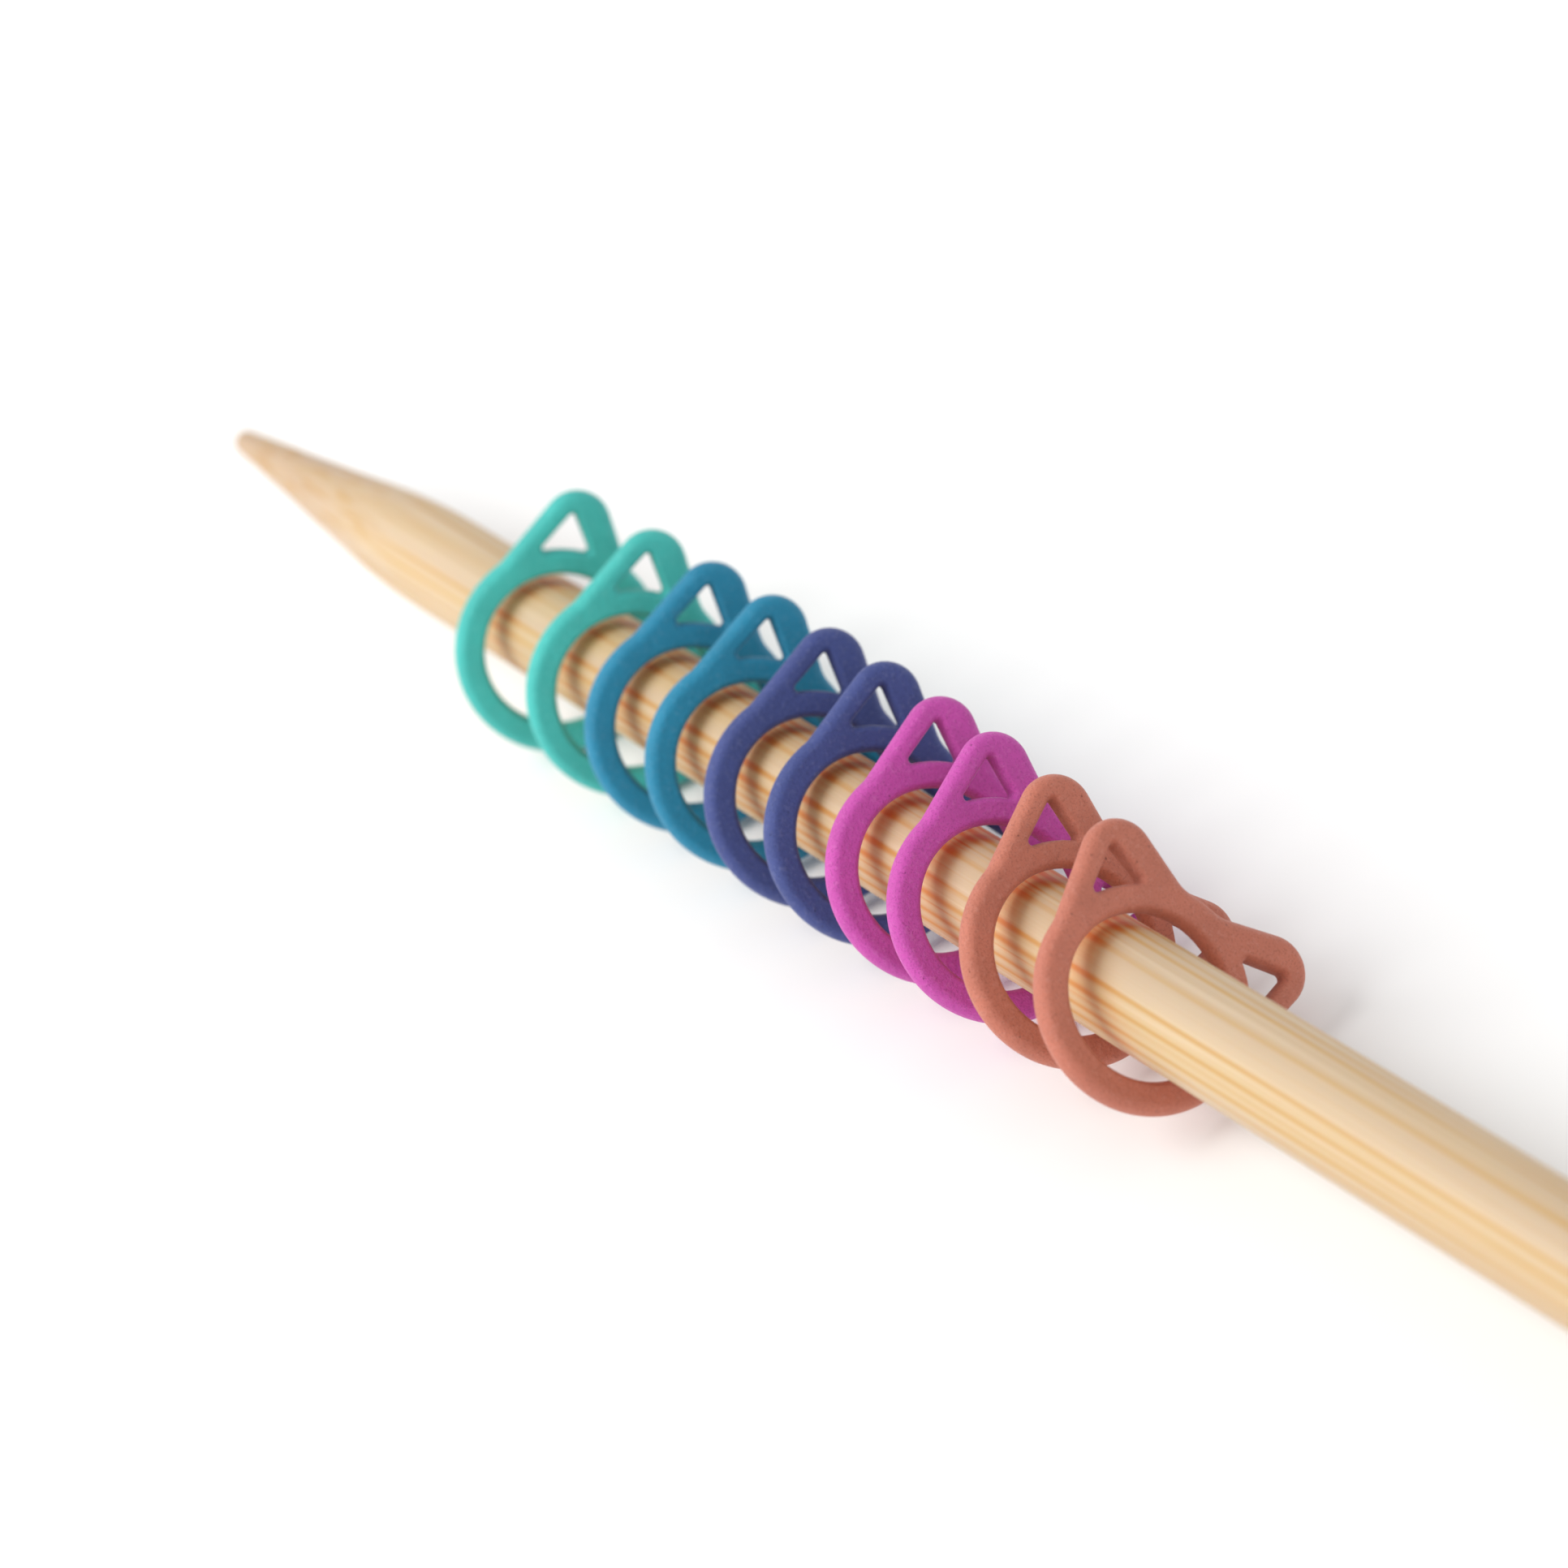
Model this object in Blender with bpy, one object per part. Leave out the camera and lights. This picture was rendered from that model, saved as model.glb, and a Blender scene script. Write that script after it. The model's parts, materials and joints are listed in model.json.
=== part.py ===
"""A bamboo double pointed needle with ten cat-head stitch markers threaded on it.

Row frame: X runs along the needle, +X from the end with the markers to the bare end, and
Z is up. The origin lies under the needle's mid-length, on the plane the row
stands on, in the middle of the row's width. Units are metres.
"""

from math import acos, cos, pi, radians, sin

import bmesh
import bpy
from mathutils import Matrix, Vector
from mathutils.geometry import tessellate_polygon

MM = 0.001

# Needle: US 10 1/2 (6.5 mm) bamboo, pointed at both ends.
NEEDLE_LENGTH = 200.0 * MM
NEEDLE_RADIUS = 3.25 * MM
TIP_RADIUS = 0.85 * MM
TAPER_SLOPE = 0.105  # radius gained per length, a cone of 6 degrees a side
SHOULDER_BLEND = 4.2 * MM  # half the length over which the cone eases into the shaft
NEEDLE_SIDES = 40
TIP_STEPS = 4
SHOULDER_STEPS = 6

# Marker outline, in its own plane. Angles turn clockwise from the top of the head. A side
# line is set by the way its outward normal points, and a window's also by its distance
# from the ring's centre.
BORE_RADIUS = 4.70 * MM
RING_OUTER_RADIUS = 6.58 * MM
EAR_ANGLE = radians(43.3)  # to the centre of each ear's rounded tip
EAR_DISTANCE = 7.85 * MM  # from the ring's centre to that centre
EAR_ROUND = 2.15 * MM
EAR_TOP_NORMAL = radians(-20.5)
EAR_CHEEK_NORMAL = radians(101.0)
EAR_FILLET = 2.2 * MM  # where an ear runs into the ring
WINDOW_TOP_NORMAL, WINDOW_TOP_DISTANCE = radians(-16.7), 4.00 * MM
WINDOW_CHEEK_NORMAL, WINDOW_CHEEK_DISTANCE = radians(99.5), 5.12 * MM
WINDOW_BASE_RADIUS = 6.26 * MM
WINDOW_ROUND = 0.20 * MM

# Marker section: flat lands front and back, elliptical edges, tighter round the holes.
HALF_THICKNESS = 0.80 * MM
EDGE_WIDTH = 0.54 * MM
HOLE_EDGE_WIDTH = 0.34 * MM
EDGE_STEPS = 2

# Standing of the markers along the needle, from the pointed end nearest them, and the
# spacing of each to the one before. They were slid on by hand, so it isn't even.
FIRST_MARKER = 41.8 * MM
SPACINGS = [gap * MM for gap in (8.5, 6.8, 6.8, 6.5, 6.4, 6.4, 6.2, 7.1, 7.0)]

# How the markers hang: the value in the middle of the set, its drift from there to the
# last marker and, where there is one, its bow, which is the same at both ends of the set.
LEAN, LEAN_DRIFT = radians(29.1), radians(5.6)
LEAN_HEADING, HEADING_DRIFT = radians(102.8), radians(-26.0)
HEAD_ROLL, ROLL_DRIFT, ROLL_BOW = radians(80.7), radians(-3.1), radians(-6.4)
SIT_Y, SIT_Y_DRIFT, SIT_Y_BOW = -0.16 * MM, 0.12 * MM, -0.17 * MM
SIT_Z, SIT_Z_DRIFT = -0.31 * MM, 0.36 * MM

# Linear base colours.
BAMBOO = (0.80, 0.58, 0.31)
COATS = {
    "teal": (0.075, 0.395, 0.340),
    "blue": (0.022, 0.180, 0.300),
    "navy": (0.052, 0.062, 0.190),
    "magenta": (0.420, 0.060, 0.270),
    "terracotta": (0.500, 0.165, 0.110),
}
MARKERS_PER_COAT = 2


def clear_scene():
    for obj in list(bpy.data.objects):
        bpy.data.objects.remove(obj, do_unlink=True)


def material(name, colour, roughness, metallic=0.0):
    made = bpy.data.materials.new(name)
    made.use_nodes = True
    shader = made.node_tree.nodes["Principled BSDF"]
    shader.inputs["Base Color"].default_value = (*colour, 1.0)
    shader.inputs["Roughness"].default_value = roughness
    shader.inputs["Metallic"].default_value = metallic
    made.diffuse_color = (*colour, 1.0)
    return made


def mesh_object(name, bm, made, sharp_degrees):
    """Closes the bmesh into a named, smooth-shaded object."""
    bmesh.ops.recalc_face_normals(bm, faces=bm.faces)
    mesh = bpy.data.meshes.new(name)
    bm.to_mesh(mesh)
    bm.free()
    mesh.materials.append(made)
    mesh.shade_smooth()
    mesh.set_sharp_from_angle(angle=radians(sharp_degrees))
    obj = bpy.data.objects.new(name, mesh)
    bpy.context.scene.collection.objects.link(obj)
    return obj


# ---- needle ----


def needle_profile():
    """(distance from the tip, radius) up to the shoulder, tip point excluded."""
    rows = []
    for k in range(1, TIP_STEPS + 1):
        turn = 0.5 * pi * k / TIP_STEPS
        rows.append((TIP_RADIUS * (1 - cos(turn)), TIP_RADIUS * sin(turn)))
    cone_length = (NEEDLE_RADIUS - TIP_RADIUS) / TAPER_SLOPE
    shaft_start = TIP_RADIUS + cone_length + SHOULDER_BLEND
    for k in range(SHOULDER_STEPS + 1):
        left = 2 * SHOULDER_BLEND * (1 - k / SHOULDER_STEPS)
        fall = TAPER_SLOPE * left**2 / (4 * SHOULDER_BLEND)
        rows.append((shaft_start - left, NEEDLE_RADIUS - fall))
    return rows


def build_needle():
    half = needle_profile()
    rows = [(-0.5 * NEEDLE_LENGTH + along, radius) for along, radius in half]
    rows += [(-along, radius) for along, radius in reversed(rows)]
    bm = bmesh.new()
    loops = []
    for along, radius in rows:
        loop = []
        for k in range(NEEDLE_SIDES):
            turn = 2 * pi * k / NEEDLE_SIDES
            loop.append(bm.verts.new((along, radius * cos(turn), radius * sin(turn))))
        loops.append(loop)
    for near, far in zip(loops, loops[1:]):
        for k in range(NEEDLE_SIDES):
            n = (k + 1) % NEEDLE_SIDES
            bm.faces.new((near[k], near[n], far[n], far[k]))
    for loop, along in ((loops[0], -0.5), (loops[-1], 0.5)):
        tip = bm.verts.new((along * NEEDLE_LENGTH, 0.0, 0.0))
        for k in range(NEEDLE_SIDES):
            bm.faces.new((loop[k], loop[(k + 1) % NEEDLE_SIDES], tip))
    return mesh_object("needle", bm, material("bamboo", BAMBOO, 0.42), 50)


# ---- marker outline ----


def arc(centre, radius, start, end, steps):
    """Points of an arc, angles clockwise from the top of the head, both ends in."""
    points = []
    for k in range(steps + 1):
        turn = start + (end - start) * k / steps
        points.append(centre + radius * Vector((sin(turn), cos(turn))))
    return points


def polar(radius, turn):
    return radius * Vector((sin(turn), cos(turn)))


def outer_loop(inset):
    """The head's outline, drawn in from the widest one by inset."""
    ring = RING_OUTER_RADIUS - inset
    fillet = EAR_FILLET + inset
    ear = polar(EAR_DISTANCE, EAR_ANGLE)
    blends = []
    for normal in (EAR_TOP_NORMAL, EAR_CHEEK_NORMAL):
        side = ear.dot(polar(1.0, normal)) + EAR_ROUND - inset
        blends.append(acos((side + fillet) / (ring + fillet)))
    top = EAR_TOP_NORMAL + blends[0]
    cheek = EAR_CHEEK_NORMAL - blends[1]
    right = [polar(ring, 0.0)]
    right += arc(polar(ring + fillet, top), fillet, top + pi, EAR_TOP_NORMAL + pi, 2)
    right += arc(ear, EAR_ROUND - inset, EAR_TOP_NORMAL, EAR_CHEEK_NORMAL, 7)
    right += arc(polar(ring + fillet, cheek), fillet, EAR_CHEEK_NORMAL + pi, cheek + pi, 2)
    right += arc(Vector((0, 0)), ring, cheek, pi, 8)[1:]
    left = [Vector((-p.x, p.y)) for p in reversed(right[1:-1])]
    return right + left


def bore_loop(inset):
    return arc(Vector((0, 0)), BORE_RADIUS + inset, 0.0, 2 * pi, 30)[:-1]


def window_loop(inset, side):
    """The hole through one ear: side is 1 for the right ear and -1 for the left.

    Its corners are rounded about three centres, which stay put whatever the inset: the
    tip, and one at each end of the base arc.
    """
    corner = WINDOW_ROUND + inset
    top_reach = WINDOW_TOP_DISTANCE - WINDOW_ROUND
    cheek_reach = WINDOW_CHEEK_DISTANCE - WINDOW_ROUND
    sides = Matrix((polar(1.0, WINDOW_TOP_NORMAL), polar(1.0, WINDOW_CHEEK_NORMAL)))
    tip = sides.inverted() @ Vector((top_reach, cheek_reach))
    base = WINDOW_BASE_RADIUS + WINDOW_ROUND
    inner = WINDOW_TOP_NORMAL + acos(top_reach / base)
    outer = WINDOW_CHEEK_NORMAL - acos(cheek_reach / base)
    points = arc(tip, corner, WINDOW_TOP_NORMAL, WINDOW_CHEEK_NORMAL, 3)
    points += arc(polar(base, outer), corner, WINDOW_CHEEK_NORMAL, outer + pi, 3)
    points += arc(Vector((0, 0)), WINDOW_BASE_RADIUS - inset, outer, inner, 3)[1:-1]
    points += arc(polar(base, inner), corner, inner + pi, WINDOW_TOP_NORMAL + 2 * pi, 3)
    if side < 0:
        points = [Vector((-p.x, p.y)) for p in reversed(points)]
    return points


def marker_loops(inset, hole_inset):
    return [
        outer_loop(inset),
        bore_loop(hole_inset),
        window_loop(hole_inset, 1),
        window_loop(hole_inset, -1),
    ]


def build_marker(name, colour, pose):
    """pose takes the marker's plane, +Y up the head and +Z its face, to the row."""
    rows = []
    for k in range(-EDGE_STEPS, EDGE_STEPS + 1):
        turn = 0.5 * pi * k / EDGE_STEPS
        drawn_in, height = 1 - cos(turn), HALF_THICKNESS * sin(turn)
        loops = marker_loops(EDGE_WIDTH * drawn_in, HOLE_EDGE_WIDTH * drawn_in)
        rows.append((loops, height))
    bm = bmesh.new()
    placed = []
    for loops, height in rows:
        row = []
        for loop in loops:
            row.append([bm.verts.new(pose @ Vector((p.x, p.y, height))) for p in loop])
        placed.append(row)
    for low, high in zip(placed, placed[1:]):
        for below, above in zip(low, high):
            count = len(below)
            for k in range(count):
                n = (k + 1) % count
                bm.faces.new((below[k], below[n], above[n], above[k]))
    land = rows[0][0]
    triangles = tessellate_polygon([[p.to_3d() for p in loop] for loop in land])
    for row in (placed[0], placed[-1]):
        verts = [vert for loop in row for vert in loop]
        for triangle in triangles:
            bm.faces.new([verts[index] for index in triangle])
    return mesh_object(name, bm, material(name + "_coat", colour, 0.62), 60)


# ---- placing the markers ----


def marker_station(index):
    """Distance of a marker's ring centre from the pointed end it hangs nearest."""
    return FIRST_MARKER + sum(SPACINGS[:index])


def marker_pose(index, count):
    """The marker's turn and its small offset from the needle's axis."""
    drift = (2 * index - (count - 1)) / (count - 1)
    lean = LEAN + LEAN_DRIFT * drift
    heading = LEAN_HEADING + HEADING_DRIFT * drift
    roll = HEAD_ROLL + ROLL_DRIFT * drift + ROLL_BOW * drift**2
    up = Vector((0, sin(roll), cos(roll)))
    face = Vector((1, 0, 0))
    across = up.cross(face)
    flat = Matrix((across, up, face)).transposed().to_4x4()
    tip_over = Matrix.Rotation(lean, 4, Vector((0, -sin(heading), cos(heading))))
    sit_y = SIT_Y + SIT_Y_DRIFT * drift + SIT_Y_BOW * drift**2
    sit_z = SIT_Z + SIT_Z_DRIFT * drift
    return Matrix.Translation((0, sit_y, sit_z)) @ tip_over @ flat


def build_markers():
    names = [coat for coat in COATS for _ in range(MARKERS_PER_COAT)]
    made = []
    for index, coat in enumerate(names):
        name = f"marker_{index + 1:02d}_{coat}"
        obj = build_marker(name, COATS[coat], marker_pose(index, len(names)))
        obj.location.x = marker_station(index) - 0.5 * NEEDLE_LENGTH
        made.append(obj)
    return made


def stand_on_origin(objects):
    """Moves the row so that it stands on z = 0 with its width centred on y = 0.

    Every origin stays on the needle's axis, which is the markers' slide axis.
    """
    bpy.context.view_layer.update()
    points = [obj.matrix_world @ v.co for obj in objects for v in obj.data.vertices]
    low = min(p.z for p in points)
    middle = 0.5 * (min(p.y for p in points) + max(p.y for p in points))
    for obj in objects:
        obj.location.y -= middle
        obj.location.z -= low


clear_scene()
needle = build_needle()
markers = build_markers()
stand_on_origin([needle, *markers])
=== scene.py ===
"""The looks of a bamboo double pointed needle with ten cat-head stitch markers on it.

Row frame: X runs along the needle, Z is up and the row stands on z = 0. Units are metres.
"""

import json
from math import acos, cos, pi, radians, sin

import bmesh
import bpy
import numpy as np
from mathutils import Matrix, Vector, noise
from mathutils.geometry import tessellate_polygon


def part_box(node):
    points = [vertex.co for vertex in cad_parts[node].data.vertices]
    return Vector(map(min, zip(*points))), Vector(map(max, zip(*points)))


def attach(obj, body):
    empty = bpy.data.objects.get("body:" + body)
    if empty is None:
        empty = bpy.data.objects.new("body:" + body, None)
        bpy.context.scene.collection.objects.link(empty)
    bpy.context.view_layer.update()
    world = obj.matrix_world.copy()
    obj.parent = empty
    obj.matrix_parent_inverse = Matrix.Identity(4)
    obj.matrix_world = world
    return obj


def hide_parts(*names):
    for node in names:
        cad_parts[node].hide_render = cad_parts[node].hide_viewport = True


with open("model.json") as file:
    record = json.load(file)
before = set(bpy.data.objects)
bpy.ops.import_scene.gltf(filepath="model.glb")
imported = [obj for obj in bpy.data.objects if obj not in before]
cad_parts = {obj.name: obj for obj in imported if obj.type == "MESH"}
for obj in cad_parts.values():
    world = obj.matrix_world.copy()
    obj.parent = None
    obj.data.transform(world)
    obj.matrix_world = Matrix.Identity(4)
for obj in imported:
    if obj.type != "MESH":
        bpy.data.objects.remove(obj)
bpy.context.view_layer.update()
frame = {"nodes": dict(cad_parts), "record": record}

MM = 0.001
PER_MM = 1000.0

# Needle: a profile of revolution, the same at both ends.
TIP_RADIUS = 0.85 * MM
TAPER_SLOPE = 0.105
SHOULDER_BLEND = 4.2 * MM
NEEDLE_SIDES = 144
TIP_STEPS = 14
TAPER_STEP = 0.5 * MM
SHAFT_STEP = 2.5 * MM
SANDING_WAVE = 0.035 * MM  # how far the hand-sanded taper strays from a true cone
FIBRE_RELIEF = 0.007 * MM

# Marker outline, in its own plane. Angles turn clockwise from the top of the head. A side
# line is set by the way its outward normal points, and a window's also by its distance
# from the ring's centre.
BORE_RADIUS = 4.70 * MM
RING_OUTER_RADIUS = 6.58 * MM
EAR_ANGLE = radians(43.3)  # to the centre of each ear's rounded tip
EAR_DISTANCE = 7.85 * MM  # from the ring's centre to that centre
EAR_ROUND = 2.15 * MM
EAR_TOP_NORMAL = radians(-20.5)
EAR_CHEEK_NORMAL = radians(101.0)
EAR_FILLET = 2.2 * MM  # where an ear runs into the ring
WINDOW_TOP_NORMAL, WINDOW_TOP_DISTANCE = radians(-16.7), 4.00 * MM
WINDOW_CHEEK_NORMAL, WINDOW_CHEEK_DISTANCE = radians(99.5), 5.12 * MM
WINDOW_BASE_RADIUS = 6.26 * MM
WINDOW_ROUND = 0.20 * MM

# Marker section: flat lands front and back, elliptical edges, tighter round the holes.
# The edges are a little rounder than the CAD's.
HALF_THICKNESS = 0.80 * MM
EDGE_WIDTH = 0.66 * MM
HOLE_EDGE_WIDTH = 0.38 * MM
EDGE_STEPS = 9
BORE_STEPS = 120
RING_STEPS = 40  # from one cheek to the chin
EAR_STEPS = 28
FILLET_STEPS = 8
WINDOW_STEPS = 10
LAND_MARGIN = 0.06 * MM  # a flat strip round each land, which keeps its shading flat

# Linear base colours.
WHITE = (1.0, 1.0, 1.0, 1.0)
COATS = {
    "teal": (0.062, 0.510, 0.462),
    "blue": (0.015, 0.230, 0.385),
    "navy": (0.054, 0.076, 0.250),
    "magenta": (0.565, 0.076, 0.400),
    "terracotta": (0.545, 0.178, 0.118),
}
STRAW_CREAM = (0.575, 0.435, 0.292)
STRAW_GOLD = (0.605, 0.445, 0.252)
STREAK_PALE = (0.70, 0.57, 0.41)
FIBRE_DARK = (0.50, 0.28, 0.10)
# Fibre amber in the open, and in the painted shade next to the markers.
AMBER_OPEN = (0.54, 0.31, 0.095)
AMBER_SHADED = (0.56, 0.165, 0.014)

# Tints that multiply the wood: painted bounce light where markers crowd it, painted contact
# shade where they all but touch it, and a darker tone on the sanded tips.
PAINTED_BOUNCE_TINT = (1.20, 1.0, 0.72)
PAINTED_CONTACT_SHADE_TINT = (1.0, 0.46, 0.13)
TIP_TINT = (0.84, 0.80, 0.84)
TIP_TINT_START, TIP_TINT_FULL = 70.0, 96.0  # mm from the needle's middle
# How far the ambient occlusion reaches that drives the painted shade and bounce light.
PAINTED_SHADE_REACH = 4.0 * MM

FLOOR_GREY = 0.95
FLOOR_HALF_SIZE = 3.0

# Light: a white sky, brightest at the horizon, and one broad soft key.
SKY_HORIZON = 1.22
SKY_FALL = 0.76  # how much less the sky gives overhead
KEY_DIRECTION = (-0.45, -0.85, 0.95)
KEY_SIZE = 0.46
KEY_POWER = 2.9
KEY_COLOUR = (1.0, 0.995, 0.99)
KEY_TARGET = Vector((-20.0, 0.0, 6.0)) * MM
KEY_DISTANCE = 0.60

# Camera, aimed from the middle of the needle's axis.
CAMERA_AIM = Vector((-14.18, -8.07, 12.71)) * MM
CAMERA_DISTANCE = 335.0 * MM
CAMERA_AZIMUTH = radians(-22.74)
CAMERA_ELEVATION = radians(33.58)
CAMERA_ROLL = radians(21.15)
LENS = 139.75  # mm, on a frame of SENSOR_WIDTH
SENSOR_WIDTH = 36.0
FOCUS_ALONG = -8.0 * MM  # from the needle's middle
F_STOP = 30.0


# ---- shader node helpers ----


class Nodes:
    """Adds and wires shader nodes: inputs take a socket or a value."""

    def __init__(self, tree):
        self.tree = tree

    def add(self, kind, settings=None, **inputs):
        node = self.tree.nodes.new(kind)
        for key, value in (settings or {}).items():
            setattr(node, key, value)
        for key, value in inputs.items():
            self.feed(node.inputs[key.replace("_", " ")], value)
        return node

    def feed(self, socket, value):
        if isinstance(value, bpy.types.NodeSocket):
            self.tree.links.new(value, socket)
        else:
            socket.default_value = value

    def math(self, operation, *values):
        node = self.tree.nodes.new("ShaderNodeMath")
        node.operation = operation
        for socket, value in zip(node.inputs, values):
            self.feed(socket, value)
        return node.outputs[0]

    def stretch(self, vector, scale):
        node = self.tree.nodes.new("ShaderNodeVectorMath")
        node.operation = "MULTIPLY"
        self.feed(node.inputs[0], vector)
        self.feed(node.inputs[1], scale)
        return node.outputs[0]

    def shift(self, vector, offset):
        node = self.tree.nodes.new("ShaderNodeVectorMath")
        node.operation = "ADD"
        self.feed(node.inputs[0], vector)
        self.feed(node.inputs[1], offset)
        return node.outputs[0]

    def noise(self, vector, scale, detail=3.0, roughness=0.5):
        node = self.add(
            "ShaderNodeTexNoise",
            Vector=vector,
            Scale=scale,
            Detail=detail,
            Roughness=roughness,
        )
        return node.outputs["Fac"]

    def step(self, value, low, high):
        """Smooth rise from 0 at low to 1 at high."""
        node = self.add(
            "ShaderNodeMapRange",
            {"interpolation_type": "SMOOTHSTEP"},
            Value=value,
            From_Min=low,
            From_Max=high,
        )
        return node.outputs["Result"]

    def mix(self, factor, first, second, blend="MIX"):
        node = self.tree.nodes.new("ShaderNodeMix")
        node.data_type = "RGBA"
        node.blend_type = blend
        self.feed(node.inputs[0], factor)
        self.feed(node.inputs[6], first)
        self.feed(node.inputs[7], second)
        return node.outputs[2]


def new_material(name):
    made = bpy.data.materials.new(name)
    made.use_nodes = True
    shader = made.node_tree.nodes["Principled BSDF"]
    return made, Nodes(made.node_tree), shader


def rgba(colour):
    return (*colour, 1.0)


# ---- materials ----


def bamboo_material():
    """Pale bamboo: amber fibre bundles run lengthwise and are cut open by the taper."""
    made, n, shader = new_material("bamboo")
    place = n.add("ShaderNodeTexCoord").outputs["Object"]
    mm = n.stretch(place, (PER_MM,) * 3)

    # The fibres wander slowly about the axis, so they come and go along the surface.
    slow = n.add("ShaderNodeTexNoise", Vector=n.stretch(mm, (0.02, 0.25, 0.25)), Scale=1.0)
    sway = n.shift(slow.outputs["Color"], (-0.5, -0.5, -0.5))
    grain = n.shift(mm, n.stretch(sway, (0.0, 0.5, 0.5)))
    cut = n.add("ShaderNodeSeparateXYZ", Vector=grain)
    section = n.add("ShaderNodeCombineXYZ", X=cut.outputs["Y"], Y=cut.outputs["Z"]).outputs[0]

    def bundles(across, thin, thick):
        """Fibre bundles, cells of the cross-section drawn out along the needle."""
        cells = n.add(
            "ShaderNodeTexVoronoi", {"voronoi_dimensions": "2D"}, Vector=section, Scale=across
        )
        return n.math("SUBTRACT", 1.0, n.step(cells.outputs["Distance"], thin, thick))

    strong = bundles(1.5, 0.04, 0.36)
    broad = bundles(1.5, 0.12, 0.58)
    faint = bundles(3.2, 0.08, 0.38)
    coming = n.noise(n.stretch(grain, (0.05, 0.9, 0.9)), 1.0, detail=1.0)
    coming = n.step(coming, 0.18, 0.42)
    strong = n.math("MULTIPLY", strong, coming)
    broad = n.math("MULTIPLY", broad, coming)
    fibre = n.noise(n.stretch(grain, (0.06, 9.0, 9.0)), 1.0, detail=4.0)
    streak = n.noise(n.stretch(grain, (0.03, 2.6, 2.6)), 1.0, detail=2.0)
    patch = n.noise(n.stretch(grain, (0.02, 0.45, 0.45)), 1.0, detail=2.0)

    # Painted shade and bounce light: where a marker crowds the shaft, ambient occlusion tints
    # the wood and deepens its fibres, standing in for the light that gets in, which has bounced
    # off wood and is warmly coloured.
    crowd = n.add("ShaderNodeAmbientOcclusion", {"samples": 8}, Distance=PAINTED_SHADE_REACH)
    painted_shade_mask = n.math("SUBTRACT", 1.0, n.step(crowd.outputs["AO"], 0.38, 0.92))
    contact_shade_mask = n.math("SUBTRACT", 1.0, n.step(crowd.outputs["AO"], 0.10, 0.65))
    # In the painted shade the fibres turn a deeper amber, broad bundles show and faint ones
    # strengthen.
    amber = n.mix(painted_shade_mask, rgba(AMBER_OPEN), rgba(AMBER_SHADED))

    pale = n.math("MULTIPLY", n.step(streak, 0.50, 0.72), 0.45)
    dark = n.math("MULTIPLY", n.step(fibre, 0.45, 0.75), 0.12)
    broad_in_painted_shade = n.math("MULTIPLY", n.math("MULTIPLY", broad, painted_shade_mask), 0.80)
    faint_deepened_in_shade = n.math("MULTIPLY", faint, n.math("MULTIPLY_ADD", painted_shade_mask, 0.45, 0.30))
    straw = n.mix(n.step(patch, 0.35, 0.68), rgba(STRAW_CREAM), rgba(STRAW_GOLD))
    straw = n.mix(pale, straw, rgba(STREAK_PALE))
    straw = n.mix(dark, straw, rgba(FIBRE_DARK))
    straw = n.mix(faint_deepened_in_shade, straw, amber)
    straw = n.mix(n.math("MULTIPLY", strong, 0.90), straw, amber)
    straw = n.mix(broad_in_painted_shade, straw, amber)
    # Painted bounce light brightens and yellows the wood where markers crowd it; painted
    # contact shade darkens it to burnt orange where they all but touch it.
    painted_bounce_tint = n.mix(painted_shade_mask, WHITE, rgba(PAINTED_BOUNCE_TINT))
    painted_contact_tint = n.mix(n.math("MULTIPLY", contact_shade_mask, 0.9), WHITE, rgba(PAINTED_CONTACT_SHADE_TINT))
    colour = n.mix(1.0, straw, painted_bounce_tint, blend="MULTIPLY")
    colour = n.mix(1.0, colour, painted_contact_tint, blend="MULTIPLY")

    # The sanded tip, which shows more end grain, is a little darker.
    along = n.add("ShaderNodeSeparateXYZ", Vector=mm).outputs["X"]
    near_tip = n.step(n.math("ABSOLUTE", along), TIP_TINT_START, TIP_TINT_FULL)
    colour = n.mix(1.0, colour, n.mix(near_tip, WHITE, rgba(TIP_TINT)), blend="MULTIPLY")

    n.feed(shader.inputs["Base Color"], colour)
    rough = n.math("MULTIPLY_ADD", fibre, 0.16, 0.36)
    n.feed(shader.inputs["Roughness"], rough)
    shader.inputs["Specular IOR Level"].default_value = 0.35
    shader.inputs["Subsurface Weight"].default_value = 0.20
    shader.inputs["Subsurface Radius"].default_value = (1.0, 0.42, 0.16)
    shader.inputs["Subsurface Scale"].default_value = 0.7 * MM
    height = n.math("MULTIPLY_ADD", strong, -0.5, fibre)
    bump = n.add("ShaderNodeBump", Height=height, Strength=0.25, Distance=0.03 * MM)
    n.feed(shader.inputs["Normal"], bump.outputs["Normal"])
    return made


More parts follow.
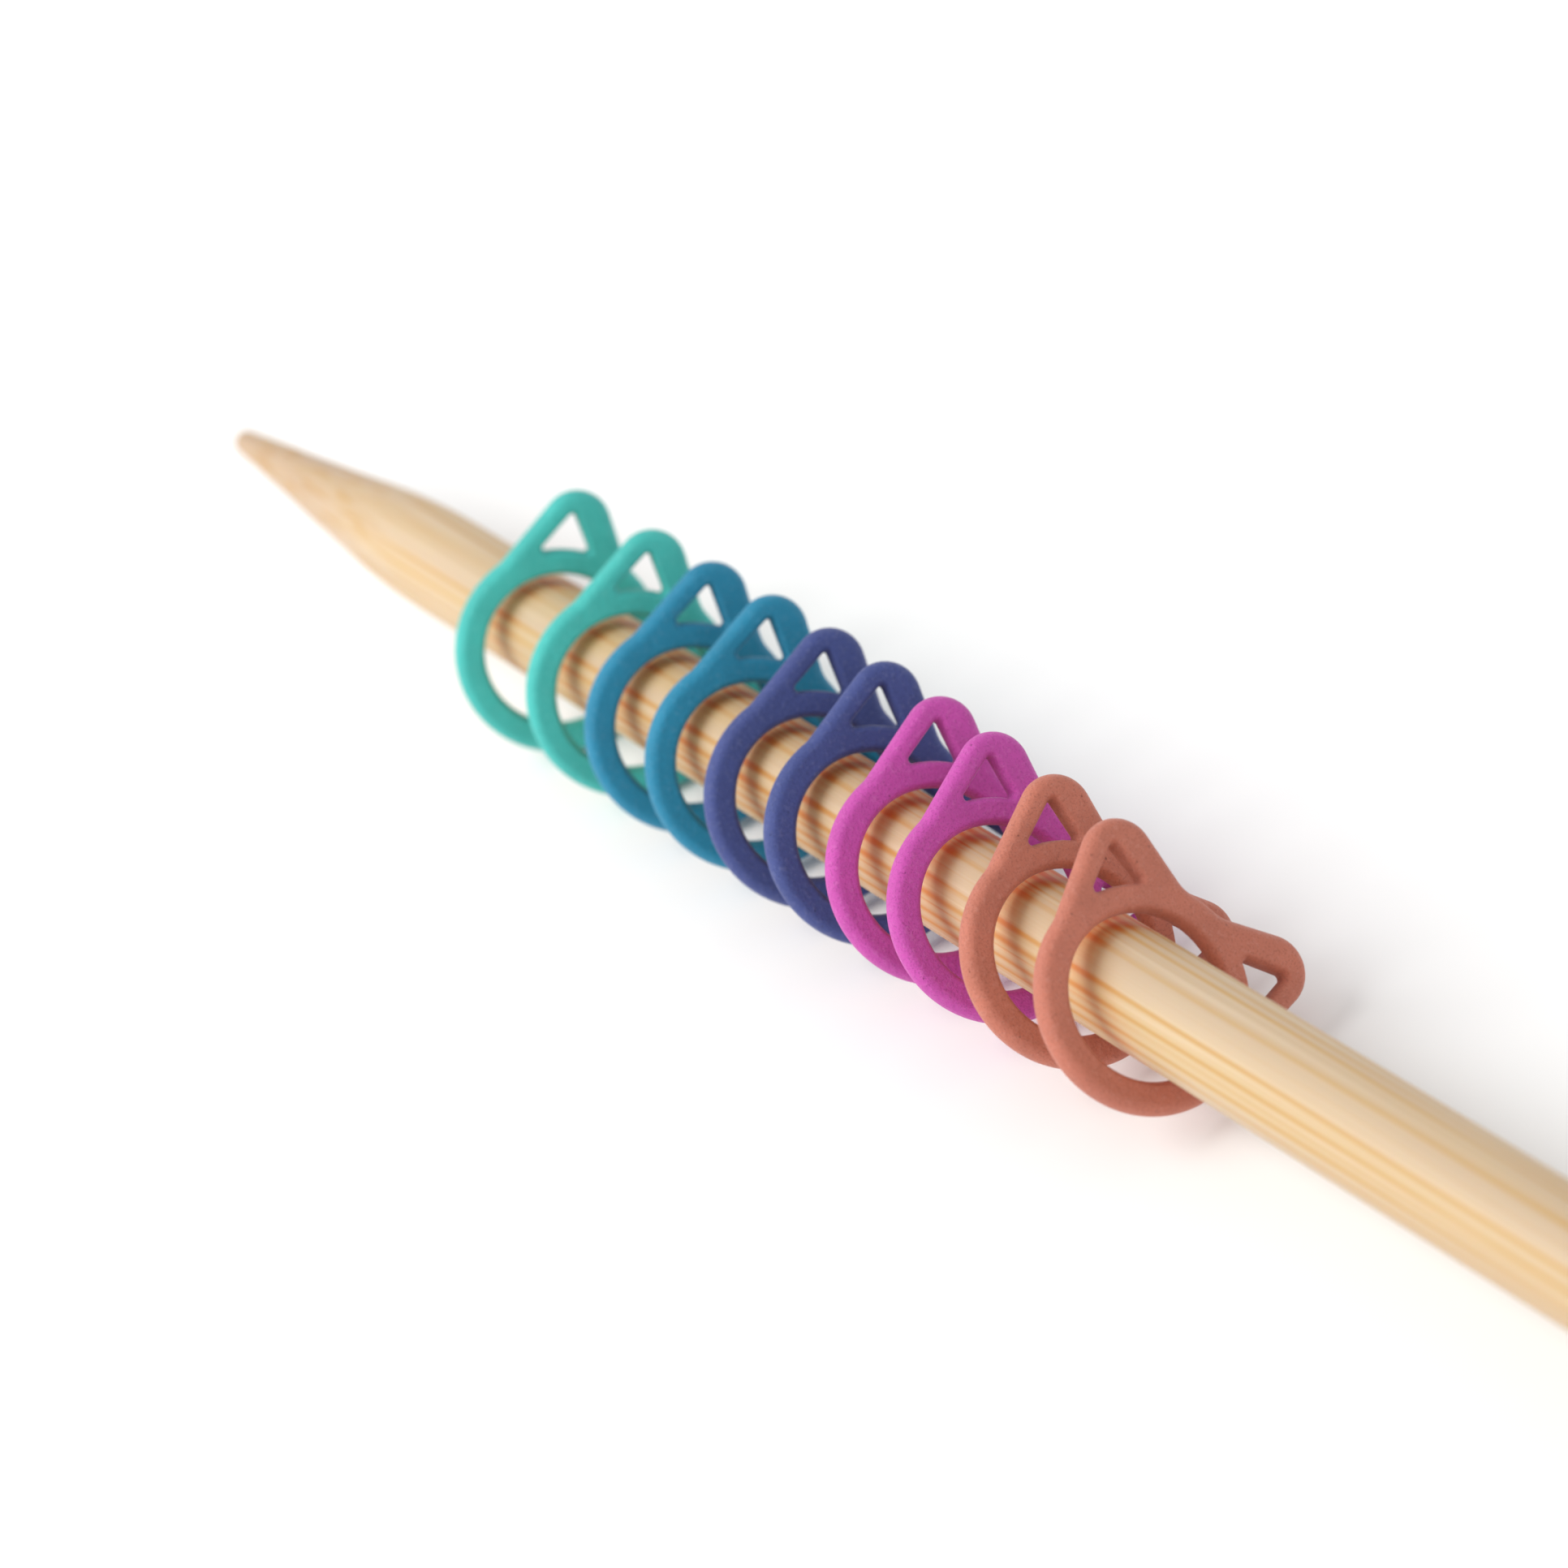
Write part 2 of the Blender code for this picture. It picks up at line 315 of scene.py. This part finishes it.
def coat_material(name, colour, seed):
    """Soft-touch coat: matte, finely pebbled, a little uneven, with a few pinprick pits."""
    made, n, shader = new_material(name)
    place = n.add("ShaderNodeTexCoord").outputs["Object"]
    mm = n.shift(n.stretch(place, (PER_MM,) * 3), (37.0 * seed, 11.0 * seed, 5.0 * seed))

    cloud = n.noise(mm, 0.45, detail=2.0)
    pebble = n.noise(mm, 3.4, detail=4.0, roughness=0.65)
    speck = n.noise(mm, 8.5, detail=1.0)
    pits = n.add("ShaderNodeTexVoronoi", Vector=mm, Scale=0.9)
    pit = n.math("SUBTRACT", 1.0, n.step(pits.outputs["Distance"], 0.03, 0.07))

    deep = tuple(0.72 * channel for channel in colour)
    pale = tuple(channel + 0.07 * (1.0 - channel) for channel in colour)
    body = n.mix(n.step(cloud, 0.25, 0.75), rgba(tuple(0.88 * c for c in colour)), rgba(colour))
    body = n.mix(n.math("MULTIPLY", n.step(pebble, 0.50, 0.72), 0.55), body, rgba(pale))
    body = n.mix(n.math("MULTIPLY", n.step(speck, 0.54, 0.68), 0.75), body, rgba(deep))
    body = n.mix(n.math("MULTIPLY", pit, 0.45), body, rgba(tuple(0.3 * c for c in colour)))

    n.feed(shader.inputs["Base Color"], body)
    n.feed(shader.inputs["Roughness"], n.math("MULTIPLY_ADD", pebble, 0.14, 0.52))
    shader.inputs["Specular IOR Level"].default_value = 0.30
    shader.inputs["Sheen Weight"].default_value = 0.25
    shader.inputs["Sheen Roughness"].default_value = 0.40
    shader.inputs["Sheen Tint"].default_value = rgba(tuple(0.5 + 0.5 * c for c in colour))
    height = n.math("MULTIPLY_ADD", pit, -1.2, pebble)
    bump = n.add("ShaderNodeBump", Height=height, Strength=0.60, Distance=0.16 * MM)
    n.feed(shader.inputs["Normal"], bump.outputs["Normal"])
    return made


def floor_material():
    made, _, shader = new_material("floor")
    shader.inputs["Base Color"].default_value = rgba((FLOOR_GREY,) * 3)
    shader.inputs["Roughness"].default_value = 0.9
    shader.inputs["Specular IOR Level"].default_value = 0.0
    return made


# ---- meshes ----


def mesh_object(name, bm, material, sharp_degrees):
    bmesh.ops.recalc_face_normals(bm, faces=bm.faces)
    mesh = bpy.data.meshes.new(name)
    bm.to_mesh(mesh)
    bm.free()
    mesh.materials.append(material)
    mesh.shade_smooth()
    mesh.set_sharp_from_angle(angle=radians(sharp_degrees))
    obj = bpy.data.objects.new(name, mesh)
    bpy.context.scene.collection.objects.link(obj)
    return obj


def needle_profile(radius, half_length):
    """(distance from the tip, radius) from the tip to the needle's middle."""
    rows = []
    for k in range(1, TIP_STEPS + 1):
        turn = 0.5 * pi * k / TIP_STEPS
        rows.append((TIP_RADIUS * (1 - cos(turn)), TIP_RADIUS * sin(turn)))
    cone_length = (radius - TIP_RADIUS) / TAPER_SLOPE
    cone_end = TIP_RADIUS + cone_length - SHOULDER_BLEND
    shaft_start = cone_end + 2 * SHOULDER_BLEND
    along = TIP_RADIUS
    while along < shaft_start - TAPER_STEP:
        along += TAPER_STEP
        if along <= cone_end:
            rows.append((along, TIP_RADIUS + TAPER_SLOPE * (along - TIP_RADIUS)))
        else:
            left = shaft_start - along
            rows.append((along, radius - TAPER_SLOPE * left**2 / (4 * SHOULDER_BLEND)))
    count = round((half_length - shaft_start) / SHAFT_STEP)
    for k in range(count + 1):
        rows.append((shaft_start + (half_length - shaft_start) * k / count, radius))
    return rows


def surface_wander(point, radius):
    """How far the wood stands off its true profile: sanding waves and fibre ridges."""
    wave = noise.noise(Vector((0.22, 0.55, 0.55)) * PER_MM * point)
    ridge = noise.noise(Vector((0.03, 3.0, 3.0)) * PER_MM * point)
    taper = 1.0 - min(1.0, point.yz.length / radius)
    wave_height = 0.12 * FIBRE_RELIEF + 4 * taper * (1 - taper) * SANDING_WAVE
    return wave * wave_height + ridge * FIBRE_RELIEF


def build_needle():
    low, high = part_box("needle")
    middle = 0.5 * (low + high)
    radius = 0.5 * (high.z - low.z)
    half_length = 0.5 * (high.x - low.x)
    rows = [(d - half_length, r) for d, r in needle_profile(radius, half_length)]
    rows += [(-along, r) for along, r in reversed(rows[:-1])]
    bm = bmesh.new()
    loops = []
    for along, r in rows:
        loop = []
        for k in range(NEEDLE_SIDES):
            turn = 2 * pi * k / NEEDLE_SIDES
            out = Vector((0.0, cos(turn), sin(turn)))
            point = Vector((along, 0.0, 0.0)) + r * out
            loop.append(bm.verts.new(point + surface_wander(point, radius) * out))
        loops.append(loop)
    for near, far in zip(loops, loops[1:]):
        for k in range(NEEDLE_SIDES):
            after = (k + 1) % NEEDLE_SIDES
            bm.faces.new((near[k], near[after], far[after], far[k]))
    for loop, end in ((loops[0], -half_length), (loops[-1], half_length)):
        tip = bm.verts.new((end, 0.0, 0.0))
        for k in range(NEEDLE_SIDES):
            bm.faces.new((loop[k], loop[(k + 1) % NEEDLE_SIDES], tip))
    piece = mesh_object("bamboo_shaft", bm, bamboo_material(), 50)
    piece.location = middle
    return piece


# ---- marker outline ----


def arc(centre, radius, start, end, steps):
    """Points of an arc, angles clockwise from the top of the head, both ends in."""
    points = []
    for k in range(steps + 1):
        turn = start + (end - start) * k / steps
        points.append(centre + radius * Vector((sin(turn), cos(turn))))
    return points


def polar(radius, turn):
    return radius * Vector((sin(turn), cos(turn)))


def outer_loop(inset):
    """The head's outline, drawn in from the widest one by inset."""
    ring = RING_OUTER_RADIUS - inset
    fillet = EAR_FILLET + inset
    ear = polar(EAR_DISTANCE, EAR_ANGLE)
    blends = []
    for normal in (EAR_TOP_NORMAL, EAR_CHEEK_NORMAL):
        side = ear.dot(polar(1.0, normal)) + EAR_ROUND - inset
        blends.append(acos((side + fillet) / (ring + fillet)))
    top = EAR_TOP_NORMAL + blends[0]
    cheek = EAR_CHEEK_NORMAL - blends[1]
    right = [polar(ring, 0.0)]
    right += arc(polar(ring + fillet, top), fillet, top + pi, EAR_TOP_NORMAL + pi, FILLET_STEPS)
    right += arc(ear, EAR_ROUND - inset, EAR_TOP_NORMAL, EAR_CHEEK_NORMAL, EAR_STEPS)
    bend = polar(ring + fillet, cheek)
    right += arc(bend, fillet, EAR_CHEEK_NORMAL + pi, cheek + pi, FILLET_STEPS)
    right += arc(Vector((0, 0)), ring, cheek, pi, RING_STEPS)[1:]
    left = [Vector((-p.x, p.y)) for p in reversed(right[1:-1])]
    return right + left


def bore_loop(inset):
    return arc(Vector((0, 0)), BORE_RADIUS + inset, 0.0, 2 * pi, BORE_STEPS)[:-1]


def window_loop(inset, side):
    """The hole through one ear: side is 1 for the right ear and -1 for the left.

    Its corners are rounded about three centres, which stay put whatever the inset: the
    tip, and one at each end of the base arc.
    """
    corner = WINDOW_ROUND + inset
    top_reach = WINDOW_TOP_DISTANCE - WINDOW_ROUND
    cheek_reach = WINDOW_CHEEK_DISTANCE - WINDOW_ROUND
    sides = Matrix((polar(1.0, WINDOW_TOP_NORMAL), polar(1.0, WINDOW_CHEEK_NORMAL)))
    tip = sides.inverted() @ Vector((top_reach, cheek_reach))
    base = WINDOW_BASE_RADIUS + WINDOW_ROUND
    inner = WINDOW_TOP_NORMAL + acos(top_reach / base)
    outer = WINDOW_CHEEK_NORMAL - acos(cheek_reach / base)
    outer_end, inner_end = polar(base, outer), polar(base, inner)
    base_line = WINDOW_BASE_RADIUS - inset
    back_to_tip = WINDOW_TOP_NORMAL + 2 * pi
    points = arc(tip, corner, WINDOW_TOP_NORMAL, WINDOW_CHEEK_NORMAL, WINDOW_STEPS)
    points += arc(outer_end, corner, WINDOW_CHEEK_NORMAL, outer + pi, WINDOW_STEPS)
    points += arc(Vector((0, 0)), base_line, outer, inner, WINDOW_STEPS)[1:-1]
    points += arc(inner_end, corner, inner + pi, back_to_tip, WINDOW_STEPS)
    if side < 0:
        points = [Vector((-p.x, p.y)) for p in reversed(points)]
    return points


def marker_loops(inset, hole_inset):
    return [
        outer_loop(inset),
        bore_loop(hole_inset),
        window_loop(hole_inset, 1),
        window_loop(hole_inset, -1),
    ]


def marker_section():
    """(outer inset, hole inset, height) of each row of loops, back land to front land."""
    land = (EDGE_WIDTH + LAND_MARGIN, HOLE_EDGE_WIDTH + LAND_MARGIN)
    rows = [(*land, -HALF_THICKNESS)]
    for k in range(-EDGE_STEPS, EDGE_STEPS + 1):
        turn = 0.5 * pi * k / EDGE_STEPS
        drawn_in = 1 - cos(turn)
        insets = (EDGE_WIDTH * drawn_in, HOLE_EDGE_WIDTH * drawn_in)
        rows.append((*insets, HALF_THICKNESS * sin(turn)))
    rows.append((*land, HALF_THICKNESS))
    return rows


def build_marker(name, material):
    """A marker lying flat, its face to +Z, the top of its head to +Y."""
    bm = bmesh.new()
    placed = []
    for inset, hole_inset, height in marker_section():
        row = []
        for loop in marker_loops(inset, hole_inset):
            row.append([bm.verts.new((p.x, p.y, height)) for p in loop])
        placed.append(row)
    for low, high in zip(placed, placed[1:]):
        for below, above in zip(low, high):
            count = len(below)
            for k in range(count):
                after = (k + 1) % count
                bm.faces.new((below[k], below[after], above[after], above[k]))
    land = marker_loops(EDGE_WIDTH + LAND_MARGIN, HOLE_EDGE_WIDTH + LAND_MARGIN)
    triangles = tessellate_polygon([[p.to_3d() for p in loop] for loop in land])
    for row in (placed[0], placed[-1]):
        verts = [vert for loop in row for vert in loop]
        for triangle in triangles:
            bm.faces.new([verts[index] for index in triangle])
    return mesh_object(name, bm, material, 60)


# ---- where the CAD put each marker ----


def head_frame(node):
    """The turn from a marker's own plane to its CAD node's, and its ring's centre.

    A head is flat and has one mirror line, so its surface's second moments point out
    of its face and along and across that line. Only the line has a heavy end.
    """
    mesh = frame["nodes"][node].data
    mesh.calc_loop_triangles()
    where = np.array([v.co for v in mesh.vertices], float)
    corners = where[[t.vertices[:] for t in mesh.loop_triangles]]
    edges = corners[:, 1:] - corners[:, :1]
    areas = 0.5 * np.linalg.norm(np.cross(edges[:, 0], edges[:, 1]), axis=1)
    middle = (areas[:, None] * corners.mean(1)).sum(0) / areas.sum()
    arms = corners - middle
    sums = arms.sum(1)
    moments = np.einsum("n,nki,nkj->ij", areas, arms, arms)
    moments += np.einsum("n,ni,nj->ij", areas, sums, sums)
    axes = np.linalg.eigh(moments)[1]
    face = axes[:, 0] * np.sign(axes[0, 0])
    reaches = {}
    for axis in (axes[:, 1], axes[:, 2]):
        spans = (where - middle) @ axis
        reaches[abs(spans.max() + spans.min())] = (axis, spans)
    up, spans = reaches[max(reaches)]
    if spans.max() > -spans.min():
        up, spans = -up, -spans
    centre = middle + (spans.min() + RING_OUTER_RADIUS) * up
    across = np.cross(up, face)
    turn = Matrix(np.array([across, up, face]).T.tolist()).to_4x4()
    return turn, Vector(centre)


# ---- stage ----


def build_floor():
    bm = bmesh.new()
    bmesh.ops.create_grid(bm, x_segments=1, y_segments=1, size=FLOOR_HALF_SIZE)
    floor = mesh_object("floor", bm, floor_material(), 30)


def build_key_light():
    data = bpy.data.lights.new("key", "AREA")
    data.shape = "DISK"
    data.size = KEY_SIZE
    data.energy = KEY_POWER
    data.color = KEY_COLOUR
    lamp = bpy.data.objects.new("key", data)
    bpy.context.scene.collection.objects.link(lamp)
    way = Vector(KEY_DIRECTION).normalized()
    lamp.location = KEY_TARGET + KEY_DISTANCE * way
    lamp.rotation_mode = "QUATERNION"
    lamp.rotation_quaternion = (-way).to_track_quat("-Z", "Y")


def light_scene():
    world = bpy.data.worlds.new("studio")
    bpy.context.scene.world = world
    world.use_nodes = True
    n = Nodes(world.node_tree)
    toward = n.add("ShaderNodeTexCoord").outputs["Generated"]
    way = n.add("ShaderNodeSeparateXYZ", Vector=toward)
    height = n.math("MAXIMUM", way.outputs["Z"], 0.0)
    sky = world.node_tree.nodes["Background"]
    sky.inputs["Color"].default_value = WHITE
    n.feed(sky.inputs["Strength"], n.math("MULTIPLY_ADD", height, -SKY_FALL, SKY_HORIZON))
    build_key_light()
    view = bpy.context.scene.view_settings
    view.view_transform = "Standard"
    view.look = "None"


def build_camera(axis_middle):
    data = bpy.data.cameras.new("camera")
    data.lens = LENS
    data.sensor_width = SENSOR_WIDTH
    data.clip_start = 0.01
    data.clip_end = 20.0
    camera = bpy.data.objects.new("camera", data)
    bpy.context.scene.collection.objects.link(camera)
    back = Vector(
        (
            cos(CAMERA_ELEVATION) * cos(CAMERA_AZIMUTH),
            cos(CAMERA_ELEVATION) * sin(CAMERA_AZIMUTH),
            sin(CAMERA_ELEVATION),
        )
    )
    camera.rotation_mode = "QUATERNION"
    level = (-back).to_track_quat("-Z", "Y")
    camera.rotation_quaternion = level @ Matrix.Rotation(-CAMERA_ROLL, 3, "Z").to_quaternion()
    camera.location = axis_middle + CAMERA_AIM + CAMERA_DISTANCE * back
    focus = bpy.data.objects.new("focus", None)
    bpy.context.scene.collection.objects.link(focus)
    focus.location = axis_middle + Vector((FOCUS_ALONG, 0.0, 0.0))
    data.dof.use_dof = True
    data.dof.focus_object = focus
    data.dof.aperture_fstop = F_STOP
    bpy.context.scene.camera = camera


# ---- assembly ----

body_of_node = {}
for body, nodes in frame["record"]["behaviour"]["bodies"].items():
    for node in nodes:
        body_of_node[node] = body

shaft = build_needle()
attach(shaft, body_of_node["needle"])
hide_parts("needle")

marker_nodes = sorted(node for node in frame["nodes"] if node.startswith("marker_"))
for number, node in enumerate(marker_nodes, start=1):
    coat = node.split("_")[2]
    material = coat_material(node + "_coat", COATS[coat], number)
    head = build_marker("cat_head_" + node[len("marker_"):], material)
    turn, centre = head_frame(node)
    head.data.transform(turn)
    head.location = centre
    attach(head, body_of_node[node])
    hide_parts(node)

low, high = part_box("needle")
build_floor()
light_scene()
build_camera(0.5 * (low + high))

bpy.context.view_layer.update()
